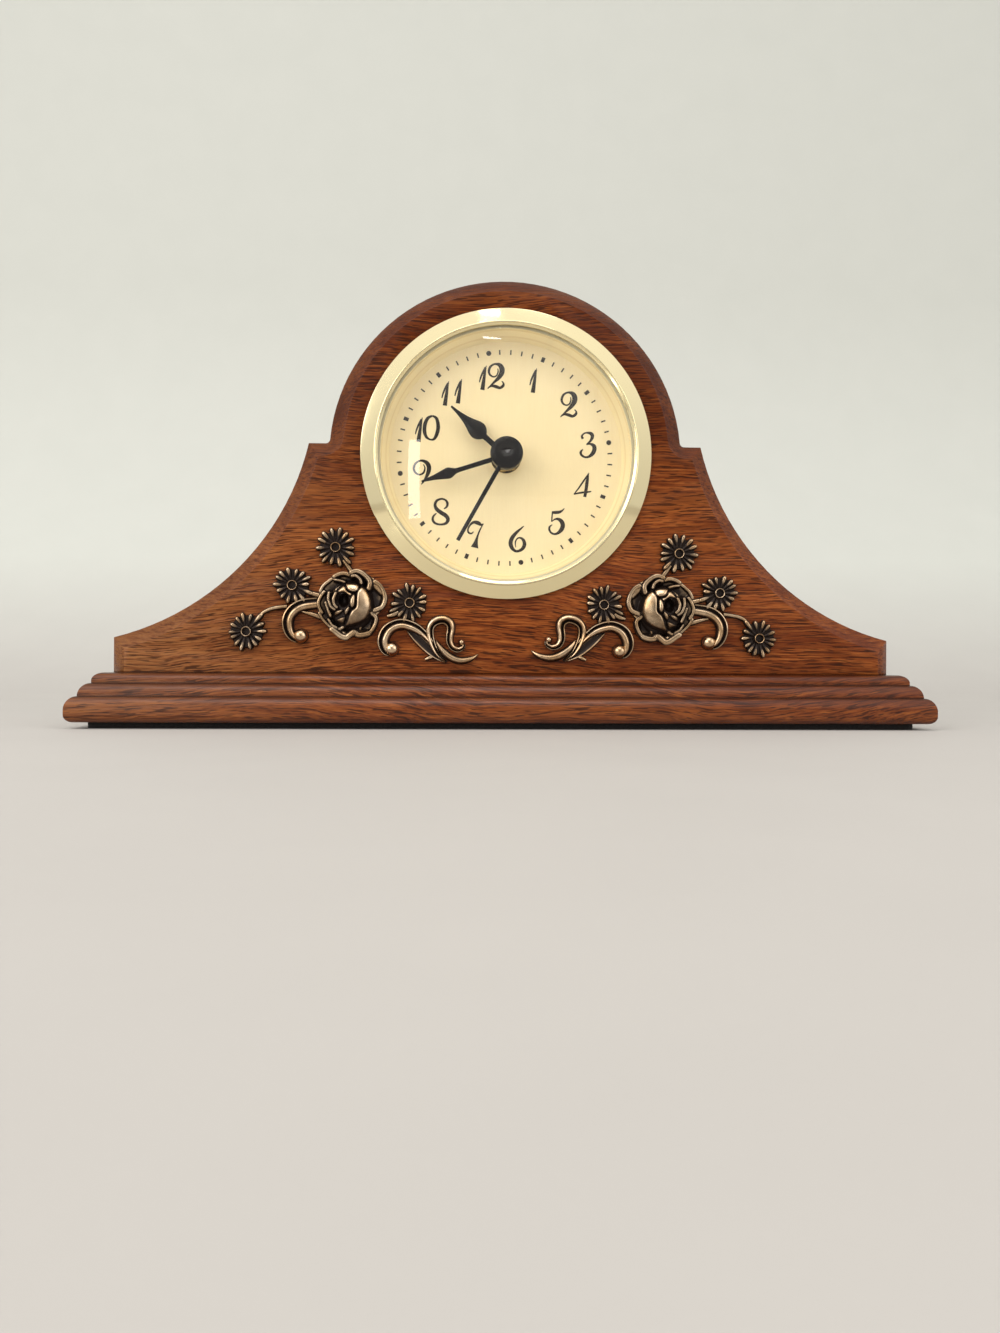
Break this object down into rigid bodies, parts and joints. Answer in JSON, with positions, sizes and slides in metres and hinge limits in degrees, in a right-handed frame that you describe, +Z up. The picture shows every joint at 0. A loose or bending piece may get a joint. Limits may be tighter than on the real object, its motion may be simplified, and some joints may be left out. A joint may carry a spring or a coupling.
{
  "type": "shelf clock",
  "caption": "Wooden shelf clock with a domed case, stepped base, floral mounts and a round quartz insert that twists and pulls out; its hands are geared together.",
  "frame": {"origin": "middle of the underside of the felt, on the surface that the clock stands on", "axes": "+X to the right seen from the front, +Y to the back, +Z up"},
  "size_m": [0.222, 0.0546, 0.1184],
  "materials": {
    "case_wood": "satin varnish",
    "base_wood": "satin varnish",
    "felt": "felt",
    "steel_screw": "zinc",
    "mount_brass": "antique brass",
    "grip_rubber": "matte",
    "bezel_brass": "polished",
    "lens_clear": "polished clear",
    "dial_gold": "gold lacquer",
    "dial_face": "champagne gold",
    "cup_plastic": "moulded",
    "movement_plastic": "moulded",
    "bright_brass": "turned",
    "board": "laminate",
    "chip_black": "moulded",
    "tin_can": "plated",
    "soft_iron": "stamped",
    "white_plastic": "moulded",
    "copper_wire": "enamelled",
    "cell_case": "printed sleeve",
    "contact_steel": "nickel plated",
    "magnet": "sintered",
    "wheel_brass": "pressed",
    "knob_plastic": "moulded",
    "hand_black": "gloss black",
    "cap_black": "gloss black"
  },
  "bodies": {
    "case": {"case_body": "case_wood", "base_plinth": "base_wood", "base_felt": "felt", "base_screw_left": "steel_screw", "base_screw_right": "steel_screw", "floral_mount_left": "mount_brass", "floral_mount_right": "mount_brass"},
    "grip": {"grip_ring": "grip_rubber"},
    "insert": {"bezel": "bezel_brass", "lens": "lens_clear", "dial_ring": "dial_gold", "dial": "dial_face", "insert_cup": "cup_plastic", "movement_plate": "movement_plastic", "movement_cover": "movement_plastic", "hand_nut": "bright_brass", "nut_washer": "bright_brass", "circuit_board": "board", "driver_chip": "chip_black", "quartz_can": "tin_can", "stator": "soft_iron", "coil_core": "soft_iron", "coil_bobbin": "white_plastic", "coil_winding": "copper_wire", "contact_plus": "contact_steel", "contact_minus": "contact_steel"},
    "seconds": {"seconds_wheel": "wheel_brass", "second_hand": "hand_black", "hub_cap": "cap_black"},
    "minutes": {"centre_wheel": "wheel_brass", "minute_hand": "hand_black"},
    "hours": {"hour_wheel": "white_plastic", "hour_hand": "hand_black"},
    "third": {"third_wheel": "white_plastic"},
    "intermediate": {"intermediate_wheel": "white_plastic"},
    "rotor": {"rotor_pinion": "white_plastic", "rotor_magnet": "magnet"},
    "motion": {"minute_wheel": "white_plastic"},
    "setting": {"setting_arbor": "white_plastic", "setting_knob": "knob_plastic"},
    "power": {"cell": "cell_case"}
  },
  "joints": [
    {"name": "insert_pull", "type": "slide", "parent": "case", "child": "grip", "axis": [0, -1, 0], "range_m": [0, 0.045]},
    {"name": "insert_twist", "type": "hinge", "parent": "grip", "child": "insert", "pos_m": [0, -0.019, 0.0717], "axis": [0, 1, 0], "continuous": true},
    {"name": "second_hand_turn", "type": "hinge", "parent": "insert", "child": "seconds", "pos_m": [0, -0.019, 0.0717], "axis": [0, 1, 0], "continuous": true},
    {"name": "minute_hand_turn", "type": "hinge", "parent": "insert", "child": "minutes", "pos_m": [0, -0.019, 0.0717], "axis": [0, 1, 0], "continuous": true},
    {"name": "hour_hand_turn", "type": "hinge", "parent": "insert", "child": "hours", "pos_m": [0, -0.019, 0.0717], "axis": [0, 1, 0], "continuous": true},
    {"name": "third_wheel_turn", "type": "hinge", "parent": "insert", "child": "third", "pos_m": [0.00685, -0.019, 0.07831], "axis": [0, 1, 0], "continuous": true},
    {"name": "intermediate_turn", "type": "hinge", "parent": "insert", "child": "intermediate", "pos_m": [-0.00915, -0.019, 0.07521], "axis": [0, 1, 0], "continuous": true},
    {"name": "rotor_turn", "type": "hinge", "parent": "insert", "child": "rotor", "pos_m": [-0.01587, -0.019, 0.07533], "axis": [0, 1, 0], "continuous": true},
    {"name": "minute_wheel_turn", "type": "hinge", "parent": "insert", "child": "motion", "pos_m": [-0.00182, -0.019, 0.07699], "axis": [0, 1, 0], "continuous": true},
    {"name": "setting_turn", "type": "hinge", "parent": "insert", "child": "setting", "pos_m": [-0.00374, -0.019, 0.08255], "axis": [0, 1, 0], "continuous": true},
    {"name": "cell_out", "type": "slide", "parent": "insert", "child": "power", "axis": [0, 1, 0], "range_m": [0, 0.03]}
  ],
  "couplings": [
    {"joint": "third_wheel_turn", "follows": "second_hand_turn", "ratio": -0.13333},
    {"joint": "minute_hand_turn", "follows": "second_hand_turn", "ratio": 0.016667},
    {"joint": "minute_wheel_turn", "follows": "second_hand_turn", "ratio": -0.0055556},
    {"joint": "hour_hand_turn", "follows": "second_hand_turn", "ratio": 0.0013889},
    {"joint": "setting_turn", "follows": "second_hand_turn", "ratio": 0.013889},
    {"joint": "intermediate_turn", "follows": "second_hand_turn", "ratio": -6},
    {"joint": "rotor_turn", "follows": "second_hand_turn", "ratio": 30}
  ]
}
